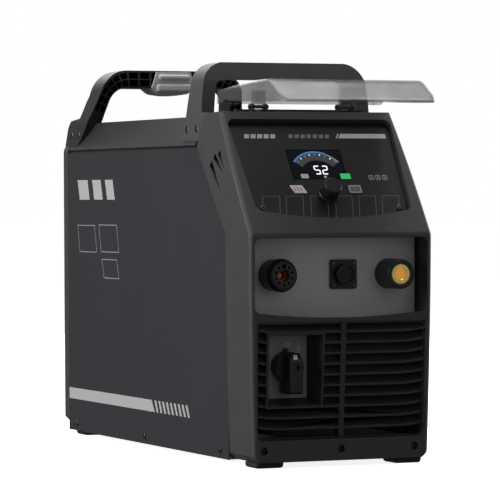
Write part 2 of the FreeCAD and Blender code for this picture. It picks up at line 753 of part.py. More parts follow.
# The plunger clicks in, and the knob's shaft turns in it.
plunger = cut(fuse(rod(5, 5, 0, 0, -19.6), rod(3.2, 9, 0, 0, -15)), rod(2.55, 30, 0, 0, -25))
piece("encoder_plunger", plunger, on_slope(0, s.knob_s, 0))
flutes = [
    rod(1.1, 30, 11.9 * math.cos(math.radians(20 * k)), 11.9 * math.sin(math.radians(20 * k)), -2.5)
    for k in range(18)
]
knob_profile = [
    (0, -5.8), (12.9, -5.8), (12.9, -4.3), (12, -3.2), (s.knob_radius + 0.3, -2.5), (s.knob_radius - 0.6, 12.6),
    (s.knob_radius - 1.8, 13.8), (0, 14),
]
knob = cut(turned(knob_profile), rod(5.5, 8, 0, 0, -8), *flutes)
piece("encoder_knob", fuse(knob, rod(2.5, 22, 0, 0, -19.4)), on_slope(0, s.knob_s, 0))

for label, key, proud in (("left_key", LEFT_KEY, 1.2), ("right_key", RIGHT_KEY, 0.9)):
    cap = rounded(prism("XY", key_outline(*key), -13.4, -7 + proud), 0.9, lambda m, d: abs(d.z) > 0.99)
    piece(label, cap, slope)

# ---- clear cover ----
# In its own axes: across, from the hinge towards the free edge, and up from the hinge line.
COVER_PLACE = HOME.multiply(
    FreeCAD.Placement(V(0, float(s.hinge_y), float(s.hinge_z)), FreeCAD.Rotation(V(0, 0, 1), 180))
)
cover_side = [
    (-16.5, 3.4), (-15.5, 20), (30, 24.5), (100, 29), (127, 29), (s.cover_reach, 4.6), (s.cover_reach, 1.2),
    (110, 2.6), (50, 4.6), (14, 7.6), (8, 7.6), (3, 3.4),
]
cover_inside = [
    (-14.5, -5), (-13.6, 18.1), (30.2, 22.5), (100.1, 27), (126, 27),
    (s.cover_reach - 2, 2.8), (s.cover_reach - 2, -5),
]
cover_plan = [(-107, -17), (107, -17), (101, 155), (94, s.cover_reach), (-94, s.cover_reach), (-101, 155)]
cover_plan_inside = [(-105, -14.4), (105, -14.4), (99, 154.4), (92.8, 168), (-92.8, 168), (-99, 154.4)]
shell = common(prism("YZ", cover_side, -110, 110), prism("XY", cover_plan, -10, 40))
shell_space = common(prism("YZ", cover_inside, -110, 110), prism("XY", cover_plan_inside, -10, 40))
LUG_X = 57.5
lugs = [
    rounded(box(x - 7, x + 7, -5, 6, -4.8, 7), 4, lambda m, d: abs(d.x) > 0.99 and m.z < 0)
    for x in (-LUG_X, LUG_X)
]
shell = cut(shell, shell_space)
webs = [box(x - 7, x + 7, -5, 6, 5, 20.2) for x in (-LUG_X, LUG_X)]
cover = cut(fuse(shell, *lugs, *webs), rod(2.06, 160, -80, 0, 0, "x"))
piece("clear_cover", cover, COVER_PLACE)
pins_through = [rod(2, 26, x - 13, 0, 0, "x") for x in (-LUG_X, LUG_X)]
piece("cover_hinge_pins", fuse(*pins_through), COVER_PLACE)
ears = []
for x in (-LUG_X, LUG_X):
    for side in (-1, 1):
        inner, far = x + side * 7.4, x + side * 10.6
        low, high = min(inner, far), max(inner, far)
        ears.append(rounded(box(low, high, -6, 5, -6.5, 3.4), 2.6, lambda m, d: abs(d.x) > 0.99 and m.z > 0))
piece("cover_hinge_ears", cut(fuse(*ears), rod(2, 230, -115, 0, 0, "x")), COVER_PLACE)

# ---- handles ----
half_handle = s.handle_width / 2
roof_block = prism("XZ", [(-115, 376), (115, 376), (98.3, 411.4), (-98.3, 411.4)], 60, 600)
HANDLE_FOOT = 376.3
front_arch_out = [
    (-half_handle, HANDLE_FOOT), (-112.4, 407), (-111.3, 431), (-109, 448), (-101.2, 466.3, "arc"),
    (-82, s.handle_top), (82, s.handle_top), (101.2, 466.3, "arc"), (109, 448), (111.3, 431), (112.4, 407),
    (half_handle, HANDLE_FOOT),
]
front_arch_in = [
    (-96, 370), (-95.3, 418), (-93, 441), (-89.4, 451.6, "arc"), (-79, 456), (79, 456), (89.4, 451.6, "arc"),
    (93, 441), (95.3, 418), (96, 370),
]
front_lean = [
    (96.6, HANDLE_FOOT), (75.6, 412.2), (88, 415), (90, 441), (91, 455), (97, s.handle_top),
    (133, s.handle_top),
    (131, 448), (133, 431), (139, 407), (144.6, 390), (147.6, 384), (148.4, HANDLE_FOOT),
]


def arch(outside, inside, lean_profile):
    ring = cut(prism("XZ", outside, 60, 600), prism("XZ", inside, 50, 610))
    return cut(common(ring, prism("YZ", lean_profile, -120, 120)), roof_block)


def handle_screw_holes(spots):
    return [rod(2.4, 40, side * 108 - 20, y, z, "x") for side in (-1, 1) for y, z in spots]


front_handle = arch(front_arch_out, front_arch_in, front_lean)
# Its back is hollow, with ribs left between the pockets.
front_pockets = [box(x, x + 13.5, 106, 150, 460, 472.5) for x in [-84 + 15.5 * k for k in range(11)]]
wells = [rod(4.6, 6, side * 113 - 3, y, z, "x") for side in (-1, 1) for y, z in FRONT_HANDLE_SCREWS]
front_handle = cut(front_handle, *front_pockets, *handle_screw_holes(FRONT_HANDLE_SCREWS), *wells)
piece("front_handle", front_handle)

rear_arch_out = [
    (-half_handle, HANDLE_FOOT), (-111, 412), (-106, 432), (-101, 452), (-90.2, 470.4, "arc"),
    (-66, s.rear_handle_top), (66, s.rear_handle_top), (90.2, 470.4, "arc"), (101, 452), (106, 432), (111, 412),
    (half_handle, HANDLE_FOOT),
]
rear_arch_in = [
    (-95, 370), (-91, 405), (-89.4, 425), (-86.5, 441), (-80.4, 451.3, "arc"), (-67, 456.7), (67, 456.7),
    (80.4, 451.3, "arc"), (86.5, 441), (89.4, 425), (91, 405), (95, 370),
]
rear_lean = [
    (530, HANDLE_FOOT), (512, 388), (495, 404), (477, 427), (463, 451), (459, 465), (460.5, s.rear_handle_top),
    (498, s.rear_handle_top), (501, 462), (504, 447), (510, 438.5), (521, 417.5), (553, 414.5), (562, 405),
    (571, HANDLE_FOOT),
]
rear_solid = arch(rear_arch_out, rear_arch_in, rear_lean)
# The side that faces the front is moulded open: two rows of cells follow the arch, with ribs
# between them. Each corner below is (across, height) on the outer and on the inner edge.
RIB_STEPS = [
    ((-107, 428), (-89.6, 423)), ((-104.4, 438.5), (-88, 433.6)), ((-101.5, 450), (-85.6, 443.4)),
    ((-96.4, 461.4), (-81.4, 449.6)), ((-88.2, 471.2), (-75.8, 454)), ((-77.4, 477.4), (-70.6, 456)),
    ((-64.5, 480), (-62.5, 456.7)), ((-48, 480), (-48, 456.7)), ((-32, 480), (-32, 456.7)),
    ((-17, 480), (-17, 456.7)),
]
GRIP_HALF = 31


def between(outer_point, inner_point, share):
    return tuple(o + (i - o) * share for o, i in zip(outer_point, inner_point))


def inset_cell(low, high, near, far):
    # One cell between two ribs: near and far are shares of the way from the outer edge inwards.
    corners = [between(*low, near), between(*high, near), between(*high, far), between(*low, far)]
    middle = tuple(sum(c[k] for c in corners) / 4 for k in (0, 1))
    rib = 0.86
    return [tuple(m + (c - m) * rib for c, m in zip(corner, middle)) for corner in corners]


cells = []
for low, high in zip(RIB_STEPS, RIB_STEPS[1:]):
    depth = 486 if low[0][1] > 445 else 500
    for near, far in ((0.08, 0.5), (0.5, 0.92)):
        shape = inset_cell(low, high, near, far)
        cells.append(prism("XZ", shape, 440, depth))
        cells.append(prism("XZ", [(-x, z) for x, z in reversed(shape)], 440, depth))
wells = [rod(4.6, 6, side * 113 - 3, y, z, "x") for side in (-1, 1) for y, z in REAR_HANDLE_SCREWS]
rear_handle = cut(rear_solid, *cells, *handle_screw_holes(REAR_HANDLE_SCREWS), *wells)
piece("rear_handle", rear_handle)

# The soft grip wraps the rear bar, with two finger ribs along its front.
grip_outline = [
    (-GRIP_HALF, 457.6), (-21, 449.4), (-7, 447.3), (7, 447.3), (21, 449.4), (GRIP_HALF, 457.6),
    (24, 478.6), (-24, 478.6),
]
grip_section = [
    (456.4, 478.6), (455.2, 465), (457, 452.5), (463, 447.3), (496, 447.3), (503, 452), (504, 465),
    (501, 478.6),
]
grip_block = common(prism("XZ", grip_outline, 445, 515), prism("YZ", grip_section, -60, 60))
finger_ribs = [
    rounded(box(-22, 22, 452.2, 462, 467.6, 474.8), 3, lambda m, d: m.y < 453 or abs(m.x) > 21.9),
    rounded(box(-25, 25, 452.4, 462, 451.8, 462.6), 3.6, lambda m, d: m.y < 453 or abs(m.x) > 24.9),
]
piece("rear_handle_grip", cut(fuse(grip_block, *finger_ribs), rear_solid))

handle_heads = []
for side, turn in ((-1, -90), (1, 90)):
    for y, z in FRONT_HANDLE_SCREWS + REAR_HANDLE_SCREWS:
        head = screw_head(4.2, 2.4, 2.1, 9)
        head.Placement = FreeCAD.Placement(V(side * 110.2, y, z), FreeCAD.Rotation(V(0, 1, 0), turn))
        handle_heads.append(head)
piece("handle_screws", fuse(*handle_heads))

side_heads = []
for side, turn in ((-1, -90), (1, 90)):
    for y, z in PANEL_SCREWS:
        head = screw_head(4, 1.8, 2, 5)
        head.Placement = FreeCAD.Placement(V(side * 115.03, y, z), FreeCAD.Rotation(V(0, 1, 0), turn))
        side_heads.append(head)
piece("side_panel_screws", fuse(*side_heads))

front_heads = []
for x, z in FRONT_SCREWS:
    head = screw_head(4, 2.4, 2, 12)
    head.Placement = FreeCAD.Placement(V(x, -66.05, z), FACING_FRONT)
    front_heads.append(head)
piece("bezel_screws", fuse(*front_heads))

# ---- rear ----
rear_out = [
    (-99, 1), (99, 1), (115.2, 17), (115.6, 372), (115.2, 375.5), (98, 411), (-98, 411), (-115.2, 375.5),
    (-115.6, 372), (-115.2, 17),
]
rear_front, rear_end = back + 0.3, back + s.rear_depth
rear_block = prism("XZ", rear_out, rear_front, rear_end)
rear_block = rounded(rear_block, 5, lambda m, d: m.y > float(rear_end) - 0.5)
opening = [(-100, 16), (100, 16), (100, 372), (86, 398), (-86, 398), (-100, 372)]
rebate = [(-106, 9), (106, 9), (106, 370), (90, 404), (-90, 404), (-106, 370)]
rear_frame = cut(rear_block, prism("XZ", opening, 540, 580), prism("XZ", rebate, 540, 560))
piece("rear_frame", rear_frame)

rear_plate_y = 558.3
panel_edge = [(-105.7, 9.4), (105.7, 9.4), (105.7, 370), (89.8, 403.6), (-89.8, 403.6), (-105.7, 370)]
GLAND = (-62, 300)
INLET = (62, 300)
FAN_HOLES = [(x, s.fan_z + z) for x in (-70, 70) for z in (-70, 70)]
vents = [box(x - 22, x + 22, 550, 570, z, z + 3.5) for x in (-40, 40) for z in (332, 341, 350, 359)]
rear_panel = cut(
    prism("XZ", panel_edge, rear_plate_y, rear_plate_y + 1.5),
    rod(s.fan_bore, 30, 0, 545, s.fan_z, "y"),
    rod(13.2, 30, GLAND[0], 545, GLAND[1], "y"),
    rod(8.2, 30, INLET[0], 545, INLET[1], "y"),
    *[rod(2.3, 30, x, 545, z, "y") for x, z in FAN_HOLES], *vents,
)
piece("rear_panel", rear_panel)

fan_back = rear_plate_y - 0.1
fan_block = cut(
    box(-78, 78, fan_back - 45, fan_back, s.fan_z - 78, s.fan_z + 78),
    rod(s.fan_bore, 60, 0, fan_back - 50, s.fan_z, "y"),
)
struts = [box(-79, 79, fan_back - 45, fan_back - 40, s.fan_z - 3, s.fan_z + 3)]
struts.append(box(-3, 3, fan_back - 45, fan_back - 40, s.fan_z - 78, s.fan_z + 78))
motor = rod(26, 18, 0, fan_back - 45, s.fan_z, "y")
fan_holes = [rod(2, 20, x, fan_back - 15, z, "y") for x, z in FAN_HOLES]
fan_frame = cut(fuse(fan_block, *struts, motor), rod(3.05, 20, 0, fan_back - 43, s.fan_z, "y"), *fan_holes)
piece("fan_frame", fan_frame)

# The fan turns about its own upright axis here: blades set at a slant round a hub.
BLADES = 7
blades = []
for k in range(BLADES):
    blade = rounded(box(20, 66, -1.2, 1.2, -13, 13), 8, lambda m, d: m.x > 65 and abs(d.y) > 0.9)
    spread = FreeCAD.Rotation(V(0, 0, 1), 360 / BLADES * k)
    blade.Placement = FreeCAD.Placement(V(0, 0, 0), spread.multiply(FreeCAD.Rotation(V(1, 0, 0), 52)))
    blades.append(blade)
hub_outline = [(0, -24), (3, -24), (3, -11), (27, -11), (27, 9), (24, 12), (0, 12)]
rotor = fuse(turned(hub_outline), *blades)
piece("fan_rotor", rotor, on_back(0, s.fan_z, fan_back - 15))

rings = []
for radius in (16, 28, 40, 52, 64, 74):
    ring = doc.addObject("Part::Torus", fresh("Torus"))
    ring.Radius1, ring.Radius2 = radius, 1.1
    rings.append(ring)
spokes = []
for k in range(4):
    spoke = box(14.5, 96, -1.3, 1.3, -2.6, 0.2)
    turned_by = FreeCAD.Rotation(V(0, 0, 1), 45 + 90 * k)
    spoke.Placement = FreeCAD.Placement(V(0, 0, 0), turned_by).multiply(spoke.Placement)
    spokes.append(spoke)
ends = [cut(rod(5, 2, x, z, -2.9), rod(2.2, 6, x, z, -4)) for x in (-70, 70) for z in (-70, 70)]
piece("fan_guard", fuse(*rings, *spokes, *ends), on_back(0, s.fan_z, rear_plate_y + 4.5))
guard_heads = [screw_head(3.8, 2.2, 1.9, 10, x, z) for x in (-70, 70) for z in (-70, 70)]
piece("fan_screws", fuse(*guard_heads), on_back(0, s.fan_z, rear_plate_y + 4.8))

gland_place = on_back(GLAND[0], GLAND[1], rear_plate_y + 1.6)
gland_nut_block = hex_nut(33, 6, 9.5, 0)
dome_outline = [(9.5, 6), (14.5, 6), (14.5, 16), (12.5, 20), (9.5, 21)]
gland_thread = cut(rod(13, 14.3, 0, 0, -14.1), rod(9.5, 20, 0, 0, -17))
piece("mains_cable_gland", fuse(gland_nut_block, turned(dome_outline), gland_thread), gland_place)
seal = cut(rod(9.4, 17, 0, 0, 2), rod(6, 30, 0, 0, -2))
piece("gland_seal", seal, gland_place)

inlet_place = on_back(INLET[0], INLET[1], rear_plate_y + 1.6)
nipple = turned([
    (4, -16), (8, -16), (8, 0), (10.5, 0), (10.5, 6), (6, 6), (6, 9), (4.6, 10.5), (4.6, 13), (6, 14.5),
    (6, 17), (5, 19),
    (4, 19),
])
piece("air_inlet_fitting", fuse(nipple, hex_nut(22, 5, 10, 0.2)), inlet_place)

# ---- feet ----
FOOT = 36
for label, y, top in (("front_feet", -48, 0.95), ("rear_feet", 528, 0.15)):
    pads = []
    for x in (-90, 90):
        block = box(x - FOOT / 2, x + FOOT / 2, y - FOOT / 2, y + FOOT / 2, -s.foot_height, top)
        pad = rounded(block, 4, lambda m, d: abs(d.z) > 0.99 or m.z < -5.9)
        pads.append(cut(pad, rod(4.5, 4, x, y, -s.foot_height)))
    piece(label, fuse(*pads))

# ---- inside ----
DECK = 178
board_z = DECK + 34
spacers = [rod(4, board_z - DECK - 2, x, y, DECK + 2) for x in (-92, 92) for y in (190, 330, 470)]
piece("tunnel_deck", fuse(box(-111, 111, 25, 500, DECK, DECK + 2), *spacers))
heatsinks = []
for x in (-62, 62):
    base = box(x - 42, x + 42, 250, 450, DECK - 8, DECK - 0.1)
    fins = [box(x - 42 + 7.5 * k, x - 40 + 7.5 * k, 250, 450, DECK - 60, DECK - 7.9) for k in range(12)]
    heatsinks.append(fuse(base, *fins))
piece("heat_sinks", fuse(*heatsinks))
piece("power_board", box(-100, 100, 180, 480, board_z, board_z + 1.6))
modules = [box(x - 17, x + 17, y, y + 94, DECK + 2.1, DECK + 30) for x in (-62, 62) for y in (260, 365)]
piece("power_modules", fuse(*modules))
cans = [
    rounded(rod(17.5, 52, x, 230, board_z + 1.7), 2, lambda m, d: m.z > board_z + 50)
    for x in (-55, -15, 25, 65)
]
piece("bus_capacitors", fuse(*cans))
core_window = box(-27, 27, 320, 410, board_z + 20, board_z + 60)
core = cut(box(-45, 45, 330, 400, board_z + 1.7, board_z + 76), core_window)
piece("transformer_core", fuse(core, box(-10, 10, 330, 400, board_z + 19, board_z + 61)))
winding = rounded(box(-26, 26, 318, 412, board_z + 22, board_z + 58), 8, along("z"))
piece("transformer_winding", cut(winding, box(-10.3, 10.3, 329.5, 400.5, board_z, board_z + 90)))
choke = doc.addObject("Part::Torus", fresh("Torus"))
choke.Radius1, choke.Radius2 = 34, 15
put(choke, 0, 150, 120, TURNS["y"])
piece("output_choke", fuse(choke, box(-12, 12, 138, 162, 160, DECK - 0.1)))
valve = fuse(box(78, 104, 484, 499, DECK + 2.1, DECK + 27), rod(7, 34, 91, 491.5, DECK + 27))
piece("gas_valve", valve)


# ---- check everything, then write it ----
doc.recompute()
faulty = [thing.Name for thing in doc.Objects if "Invalid" in thing.State or "Error" in thing.State]
for thing in pieces:
    if thing.Shape.isNull() or not thing.Shape.isValid() or not thing.Shape.Solids:
        faulty.append(thing.Label)
if faulty:
    raise RuntimeError("these failed: " + ", ".join(faulty))
os.makedirs("parts", exist_ok=True)
for thing in pieces:
    thing.Shape.exportStep("parts/" + thing.Label + ".step")
print(len(pieces), "sub-parts written")
outer_size = Part.makeCompound([thing.Shape for thing in pieces]).BoundBox
print("outer size, low corner", outer_size.XMin, outer_size.YMin, outer_size.ZMin)
print("outer size, high corner", outer_size.XMax, outer_size.YMax, outer_size.ZMax)
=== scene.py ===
import bpy
import bmesh
import json
import math
import numpy as np
from mathutils import Matrix, Vector


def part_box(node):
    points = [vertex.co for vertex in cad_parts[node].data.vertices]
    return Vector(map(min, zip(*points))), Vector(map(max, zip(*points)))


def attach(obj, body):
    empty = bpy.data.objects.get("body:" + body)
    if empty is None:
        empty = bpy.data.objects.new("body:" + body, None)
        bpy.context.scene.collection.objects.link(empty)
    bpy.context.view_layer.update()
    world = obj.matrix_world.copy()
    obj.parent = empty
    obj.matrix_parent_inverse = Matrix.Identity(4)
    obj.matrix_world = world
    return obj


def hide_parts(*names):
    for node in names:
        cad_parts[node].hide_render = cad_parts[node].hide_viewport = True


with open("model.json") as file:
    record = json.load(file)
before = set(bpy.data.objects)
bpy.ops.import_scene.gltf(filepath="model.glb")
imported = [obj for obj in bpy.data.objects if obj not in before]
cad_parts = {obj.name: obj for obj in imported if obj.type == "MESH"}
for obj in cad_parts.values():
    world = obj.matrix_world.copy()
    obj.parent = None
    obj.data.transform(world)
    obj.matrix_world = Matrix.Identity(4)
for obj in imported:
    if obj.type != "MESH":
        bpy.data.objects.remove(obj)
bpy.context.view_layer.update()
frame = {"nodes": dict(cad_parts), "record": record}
nodes = frame["nodes"]
slotOf = {row["node"]: row["material_slot"] for row in frame["record"]["subparts"]}
bodyOf = {name: body for body, names in frame["record"]["behaviour"]["bodies"].items() for name in names}
mm = 0.001

# Case axes: millimetres across, back from the side panels' front edge, up from their bottom edge.
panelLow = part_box("left_side_panel")[0]
caseFront, caseBottom = panelLow.y, panelLow.z
slopeAngle = math.radians(55)
slopeFoot = 268  # height where the slanted panel starts
slopeFront = -75  # and how far forward


def caseMatrix(x=0, y=0, z=0, turn=None):
    place = Matrix.Translation((x * mm, caseFront + y * mm, caseBottom + z * mm))
    return place @ (turn or Matrix.Identity(4)) @ Matrix.Scale(mm, 4)


facingFront = Matrix.Rotation(math.radians(90), 4, "X")
facingLeft = Matrix.Rotation(math.radians(-90), 4, "Z") @ facingFront
facingRight = Matrix.Rotation(math.radians(90), 4, "Z") @ facingFront


def frontMatrix(x, z, y):
    # drawing axes across and up, facing forwards, at depth y
    return caseMatrix(x, y, z, facingFront)


def slopeMatrix(x=0, up=0, out=0):
    # drawing axes across and up the slanted panel
    base = caseMatrix(0, slopeFront, slopeFoot, Matrix.Rotation(slopeAngle, 4, "X"))
    return base @ Matrix.Translation((x, up, out))


def newMaterial(name):
    made = bpy.data.materials.new(name)
    made.use_nodes = True
    tree = made.node_tree
    shader = tree.nodes["Principled BSDF"]
    return made, tree, shader


def objectNoise(tree, scale, detail=3, roughness=0.55, stretch=None):
    # noise on the piece's own coordinates, in features per metre
    where = tree.nodes.new("ShaderNodeTexCoord").outputs["Object"]
    if stretch:
        mapping = tree.nodes.new("ShaderNodeMapping")
        mapping.inputs["Scale"].default_value = stretch
        tree.links.new(where, mapping.inputs["Vector"])
        where = mapping.outputs["Vector"]
    noise = tree.nodes.new("ShaderNodeTexNoise")
    noise.inputs["Scale"].default_value = scale
    noise.inputs["Detail"].default_value = detail
    noise.inputs["Roughness"].default_value = roughness
    tree.links.new(where, noise.inputs["Vector"])
    return noise.outputs["Fac"]


def spread(tree, value, low, high):
    # carries a noise value into the range low to high
    ranged = tree.nodes.new("ShaderNodeMapRange")
    ranged.inputs["From Min"].default_value = 0.3
    ranged.inputs["From Max"].default_value = 0.7
    ranged.inputs["To Min"].default_value = low
    ranged.inputs["To Max"].default_value = high
    tree.links.new(value, ranged.inputs["Value"])
    return ranged.outputs["Result"]


def tinted(tree, shader, value, dark, light):
    ramp = tree.nodes.new("ShaderNodeMix")
    ramp.data_type = "RGBA"
    ramp.inputs["A"].default_value = (*dark, 1)
    ramp.inputs["B"].default_value = (*light, 1)
    tree.links.new(value, ramp.inputs["Factor"])
    tree.links.new(ramp.outputs["Result"], shader.inputs["Base Color"])


def roughSurface(tree, shader, height, depth, before=None):
    bump = tree.nodes.new("ShaderNodeBump")
    bump.inputs["Strength"].default_value = 1
    bump.inputs["Distance"].default_value = depth
    tree.links.new(height, bump.inputs["Height"])
    if before:
        tree.links.new(before, bump.inputs["Normal"])
    tree.links.new(bump.outputs["Normal"], shader.inputs["Normal"])
    return bump.outputs["Normal"]


def mouldedPlastic(name, colour, roughness=0.5, grain=2600, depth=0.00002, wear=0.06):
    # spark-eroded mould texture: fine pits, and a slow change of sheen over the surface
    made, tree, shader = newMaterial(name)
    light = tuple(min(1, c * 1.14 + 0.002) for c in colour)
    tinted(tree, shader, spread(tree, objectNoise(tree, 55, 4), 0, 1), colour, light)
    sheen = spread(tree, objectNoise(tree, 23, 5), roughness - wear, roughness + wear)
    tree.links.new(sheen, shader.inputs["Roughness"])
    roughSurface(tree, shader, objectNoise(tree, grain, 2), depth)
    shader.inputs["Specular IOR Level"].default_value = 0.45
    return made


def powderCoat(name, colour, roughness=0.42, depth=0.00003):
    # orange-peel powder coat: soft millimetre waves with a finer grain on top
    made, tree, shader = newMaterial(name)
    light = tuple(c * 1.1 + 0.001 for c in colour)
    tinted(tree, shader, spread(tree, objectNoise(tree, 900, 2), 0, 1), colour, light)
    sheen = spread(tree, objectNoise(tree, 12, 6), roughness - 0.05, roughness + 0.06)
    tree.links.new(sheen, shader.inputs["Roughness"])
    first = roughSurface(tree, shader, objectNoise(tree, 620, 2), depth)
    roughSurface(tree, shader, objectNoise(tree, 3000, 1), depth * 0.4, first)
    return made


def turnedMetal(name, colour, roughness=0.28, stretch=(1, 1, 1), grain=900):
    # machined metal: fine tool marks and a little tarnish
    made, tree, shader = newMaterial(name)
    dark = tuple(c * 0.8 for c in colour)
    tinted(tree, shader, spread(tree, objectNoise(tree, 140, 5), 0, 1), dark, colour)
    marks = objectNoise(tree, grain, 3, 0.6, stretch)
    tree.links.new(spread(tree, marks, roughness - 0.08, roughness + 0.1), shader.inputs["Roughness"])
    roughSurface(tree, shader, marks, 0.000012)
    shader.inputs["Metallic"].default_value = 1
    return made


def brassWithPaintedGlint(name, colour):
    # polished brass, with a faint emission glow in its own colour over the whole surface: a painted highlight that
    # makes it brighter than the lamps light it
    made = turnedMetal(name, colour, 0.26)
    shader = made.node_tree.nodes["Principled BSDF"]
    shader.inputs["Metallic"].default_value = 0.85
    # painted highlight: the brass glows faintly in its own colour wherever it is seen
    shader.inputs["Emission Color"].default_value = (*colour, 1)
    shader.inputs["Emission Strength"].default_value = 0.13
    return made


def printedInk(name, colour, roughness=0.5, glow=0):
    made, tree, shader = newMaterial(name)
    light = tuple(min(1, c * 1.05) for c in colour)
    tinted(tree, shader, spread(tree, objectNoise(tree, 800, 3), 0, 1), colour, light)
    shader.inputs["Roughness"].default_value = roughness
    if glow:
        shader.inputs["Emission Color"].default_value = (*colour, 1)
        shader.inputs["Emission Strength"].default_value = glow
    return made


def clearPlastic(name):
    # thin clear moulding: mostly see-through, with a pale sheen and faint haze
    made, tree, shader = newMaterial(name)
    cloud = spread(tree, objectNoise(tree, 30, 5), 0, 1)
    tinted(tree, shader, cloud, (0.09, 0.092, 0.094), (0.13, 0.132, 0.134))
    shader.inputs["IOR"].default_value = 1.45
    haze = spread(tree, objectNoise(tree, 35, 4), 0.16, 0.3)
    tree.links.new(haze, shader.inputs["Roughness"])
    faintHaze = spread(tree, objectNoise(tree, 9, 3), 0.33, 0.46)
    tree.links.new(faintHaze, shader.inputs["Alpha"])
    roughSurface(tree, shader, objectNoise(tree, 14, 2), 0.0006)
    return made


print("materials")
finishes = {
    "blue_grey_paint": powderCoat("sidePaint", (0.023, 0.0245, 0.029), 0.45),
    "roof_paint": powderCoat("roofPaint", (0.02, 0.02, 0.021), 0.5),
    "zinc_steel": turnedMetal("zincSteel", (0.55, 0.56, 0.57), 0.4, (1, 14, 1)),
    "black_moulding": mouldedPlastic("charcoalMoulding", (0.043, 0.043, 0.0425), 0.55),
    "plate_grey": powderCoat("platePaint", (0.56, 0.56, 0.56), 0.45),
    "black_insulator": mouldedPlastic("blackInsulator", (0.012, 0.012, 0.012), 0.38),
    "dark_red_insulator": mouldedPlastic("redInsulator", (0.05, 0.014, 0.012), 0.4),
    "soft_grip": mouldedPlastic("softGrip", (0.42, 0.42, 0.41), 0.7, 1800, 0.00004),
    "black_rubber": mouldedPlastic("blackRubber", (0.015, 0.015, 0.015), 0.75, 1600, 0.00005),
    "screw_steel": turnedMetal("blackScrew", (0.12, 0.12, 0.12), 0.35),
    "contact_brass": brassWithPaintedGlint("brass", (0.98, 0.7, 0.22)),
    "fascia_film": mouldedPlastic("controlFilm", (0.0145, 0.0145, 0.013), 0.36, 4200, 0.000006, 0.02),
    "display_glass": mouldedPlastic("displayGlass", (0.004, 0.004, 0.006), 0.08, 900, 0.000001, 0.02),
    "circuit_green": mouldedPlastic("circuitBoard", (0.02, 0.13, 0.05), 0.4),
    "key_white": mouldedPlastic("whiteKey", (0.75, 0.75, 0.75), 0.35, 3000, 0.00001),
    "key_grey": mouldedPlastic("greyKey", (0.14, 0.14, 0.16), 0.35, 3000, 0.00001),
    "clear_plastic": clearPlastic("clearPlastic"),
    "hinge_ear_black": mouldedPlastic("hingeEar", (0.03, 0.03, 0.03), 0.4),
    "aluminium": turnedMetal("extrudedAluminium", (0.8, 0.81, 0.82), 0.35, (1, 10, 1)),
    "module_black": mouldedPlastic("moduleBlack", (0.02, 0.02, 0.02), 0.45),
    "ferrite": mouldedPlastic("ferrite", (0.06, 0.06, 0.065), 0.6),
    "copper_winding": turnedMetal("copperWinding", (0.75, 0.36, 0.2), 0.4, (1, 1, 30), 400),
}
inks = {
    "white": printedInk("whiteInk", (0.72, 0.72, 0.72)),
    "silver": printedInk("silverInk", (0.5, 0.5, 0.5), 0.38),
    "grey": printedInk("greyInk", (0.27, 0.27, 0.265)),
    "faint": printedInk("faintInk", (0.19, 0.19, 0.185)),
    "red": printedInk("redInk", (0.5, 0.04, 0.04)),
    "litWhite": printedInk("litWhite", (0.9, 0.9, 0.9), 0.3, 1.0),
    "litGrey": printedInk("litGrey", (0.26, 0.27, 0.29), 0.3, 0.6),
    "litBlue": printedInk("litBlue", (0.04, 0.16, 0.36), 0.3, 0.7),
    "litSteel": printedInk("litSteel", (0.045, 0.05, 0.056), 0.3, 0.5),
    "litGreen": printedInk("litGreen", (0.03, 0.35, 0.1), 0.3, 0.9),
    "litRed": printedInk("litRed", (0.6, 0.06, 0.04), 0.3, 0.8),
    "litDark": printedInk("litDark", (0.006, 0.007, 0.012), 0.12, 0.3),
}

nodeFinish = {
    "front_handle": mouldedPlastic("frontHandleMoulding", (0.06, 0.06, 0.059), 0.5),
    "rear_handle": mouldedPlastic("rearHandleMoulding", (0.02, 0.02, 0.02), 0.5),
    "switch_plate": powderCoat("switchPlate", (0.3, 0.3, 0.3), 0.45),
    "torch_socket_insert": mouldedPlastic("torchInsert", (0.02, 0.018, 0.017), 0.4),
    "torch_socket_contact": turnedMetal("torchContact", (0.62, 0.2, 0.12), 0.35),
    "rear_panel": powderCoat("rearPanelPaint", (0.075, 0.075, 0.077), 0.45),
    # painted shade: the connector pins get a dark steel tone that stands in for the shade inside their holes
    "data_connector_pins": turnedMetal("dullPins", (0.16, 0.15, 0.13), 0.4),
    "bezel_screws": mouldedPlastic("blackScrewHeads", (0.006, 0.006, 0.006), 0.45),
    "front_grille": mouldedPlastic("grilleMoulding", (0.03, 0.03, 0.03), 0.55),
}
for name, node in nodes.items():
    node.data.materials.clear()
    node.data.materials.append(nodeFinish.get(name) or finishes[slotOf[name]])


def place(piece, body, slotName, standsFor=()):
    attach(piece, body)
    if standsFor:
        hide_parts(*standsFor)
    return piece


def meshPiece(name, verts, faces, material):
    mesh = bpy.data.meshes.new(name)
    mesh.from_pydata([tuple(v) for v in np.asarray(verts, float)], [], faces)
    mesh.materials.append(material)
    mesh.update()
    piece = bpy.data.objects.new(name, mesh)
    bpy.context.scene.collection.objects.link(piece)
    return piece


